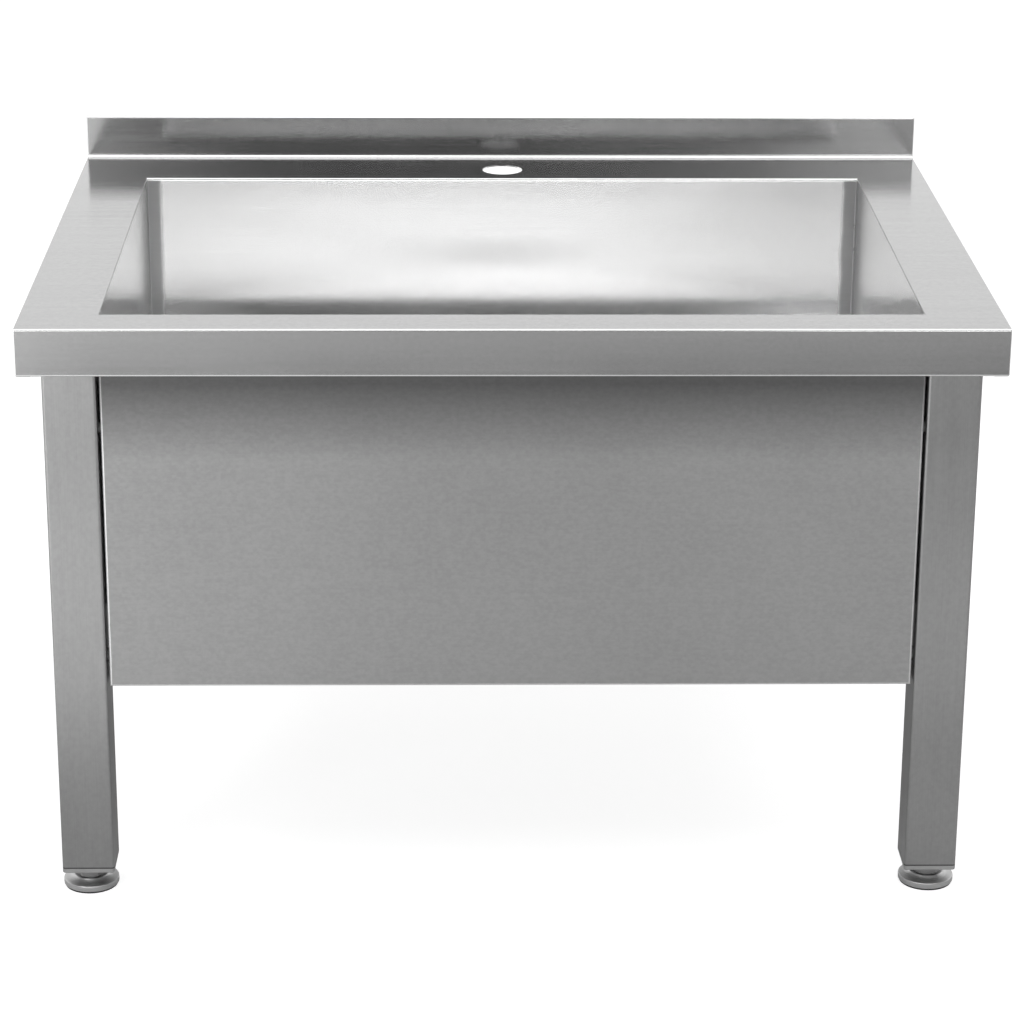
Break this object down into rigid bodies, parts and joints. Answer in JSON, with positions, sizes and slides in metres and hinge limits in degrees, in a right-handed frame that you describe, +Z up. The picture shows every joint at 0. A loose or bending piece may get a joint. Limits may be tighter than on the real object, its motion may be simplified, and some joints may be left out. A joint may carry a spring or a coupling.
{
  "type": "utility laundry sink",
  "caption": "Low stainless utility sink: folded worktop with an upstand, deep rectangular bowl, front apron and square tube legs on levelling feet.",
  "frame": {"origin": "on the floor, under the middle of the worktop's outline", "axes": "+X to the right as one faces the apron, +Y to the back towards the upstand, +Z up"},
  "size_m": [0.8, 0.6, 0.545],
  "materials": {
    "worktop_steel": "fine brushed along its width, bright at the folds",
    "bowl_steel": "semi-bright rolled sheet, ground strips beside the welds",
    "apron_steel": "fine brushed",
    "tube_steel": "brushed along the tube",
    "plug_steel": "satin",
    "foot_steel": "turned, polished collar",
    "stud_steel": "machined",
    "pad_rubber": "matt moulded rubber",
    "fastener_steel": "plain bright",
    "waste_steel": "polished",
    "gasket_rubber": "matt moulded rubber",
    "housing_plastic": "moulded polypropylene"
  },
  "bodies": {
    "sink": {"worktop": "worktop_steel", "bowl": "bowl_steel", "front_apron": "apron_steel", "front_rail": "tube_steel", "left_rail": "tube_steel", "right_rail": "tube_steel", "rear_brace": "tube_steel", "leg_front_left": "tube_steel", "leg_front_right": "tube_steel", "leg_back_left": "tube_steel", "leg_back_right": "tube_steel", "leg_plug_front_left": "plug_steel", "leg_plug_front_right": "plug_steel", "leg_plug_back_left": "plug_steel", "leg_plug_back_right": "plug_steel", "worktop_studs": "fastener_steel", "worktop_washers": "fastener_steel", "worktop_nuts": "fastener_steel", "apron_spacers": "fastener_steel", "rivet_nuts": "fastener_steel", "apron_screws": "fastener_steel", "flange_gasket": "gasket_rubber", "waste_flange": "waste_steel", "under_gasket": "gasket_rubber", "waste_housing": "housing_plastic", "clamp_screw": "fastener_steel"},
    "basket": {"basket": "waste_steel", "basket_seal": "gasket_rubber"},
    "foot_front_left": {"foot_disc_front_left": "foot_steel", "foot_pad_front_left": "pad_rubber"},
    "stud_front_left": {"foot_stud_front_left": "stud_steel"},
    "foot_front_right": {"foot_disc_front_right": "foot_steel", "foot_pad_front_right": "pad_rubber"},
    "stud_front_right": {"foot_stud_front_right": "stud_steel"},
    "foot_back_left": {"foot_disc_back_left": "foot_steel", "foot_pad_back_left": "pad_rubber"},
    "stud_back_left": {"foot_stud_back_left": "stud_steel"},
    "foot_back_right": {"foot_disc_back_right": "foot_steel", "foot_pad_back_right": "pad_rubber"},
    "stud_back_right": {"foot_stud_back_right": "stud_steel"}
  },
  "joints": [
    {"name": "basket_lift", "type": "slide", "parent": "sink", "child": "basket", "axis": [0, 0, 1], "range_m": [0, 0.06]},
    {"name": "foot_travel_front_left", "type": "slide", "parent": "sink", "child": "foot_front_left", "axis": [0, 0, -1], "range_m": [0, 0.03]},
    {"name": "stud_turn_front_left", "type": "hinge", "parent": "foot_front_left", "child": "stud_front_left", "pos_m": [-0.359, -0.2645, 0.02], "axis": [0, 0, -1], "range_deg": [0, 6172.4]},
    {"name": "foot_travel_front_right", "type": "slide", "parent": "sink", "child": "foot_front_right", "axis": [0, 0, -1], "range_m": [0, 0.03]},
    {"name": "stud_turn_front_right", "type": "hinge", "parent": "foot_front_right", "child": "stud_front_right", "pos_m": [0.359, -0.2645, 0.02], "axis": [0, 0, -1], "range_deg": [0, 6172.4]},
    {"name": "foot_travel_back_left", "type": "slide", "parent": "sink", "child": "foot_back_left", "axis": [0, 0, -1], "range_m": [0, 0.03]},
    {"name": "stud_turn_back_left", "type": "hinge", "parent": "foot_back_left", "child": "stud_back_left", "pos_m": [-0.359, 0.2645, 0.02], "axis": [0, 0, -1], "range_deg": [0, 6172.4]},
    {"name": "foot_travel_back_right", "type": "slide", "parent": "sink", "child": "foot_back_right", "axis": [0, 0, -1], "range_m": [0, 0.03]},
    {"name": "stud_turn_back_right", "type": "hinge", "parent": "foot_back_right", "child": "stud_back_right", "pos_m": [0.359, 0.2645, 0.02], "axis": [0, 0, -1], "range_deg": [0, 6172.4]}
  ],
  "couplings": [
    {"joint": "stud_turn_front_left", "follows": "foot_travel_front_left", "rad_per_m": 3590.4},
    {"joint": "stud_turn_front_right", "follows": "foot_travel_front_right", "rad_per_m": 3590.4},
    {"joint": "stud_turn_back_left", "follows": "foot_travel_back_left", "rad_per_m": 3590.4},
    {"joint": "stud_turn_back_right", "follows": "foot_travel_back_right", "rad_per_m": 3590.4}
  ]
}
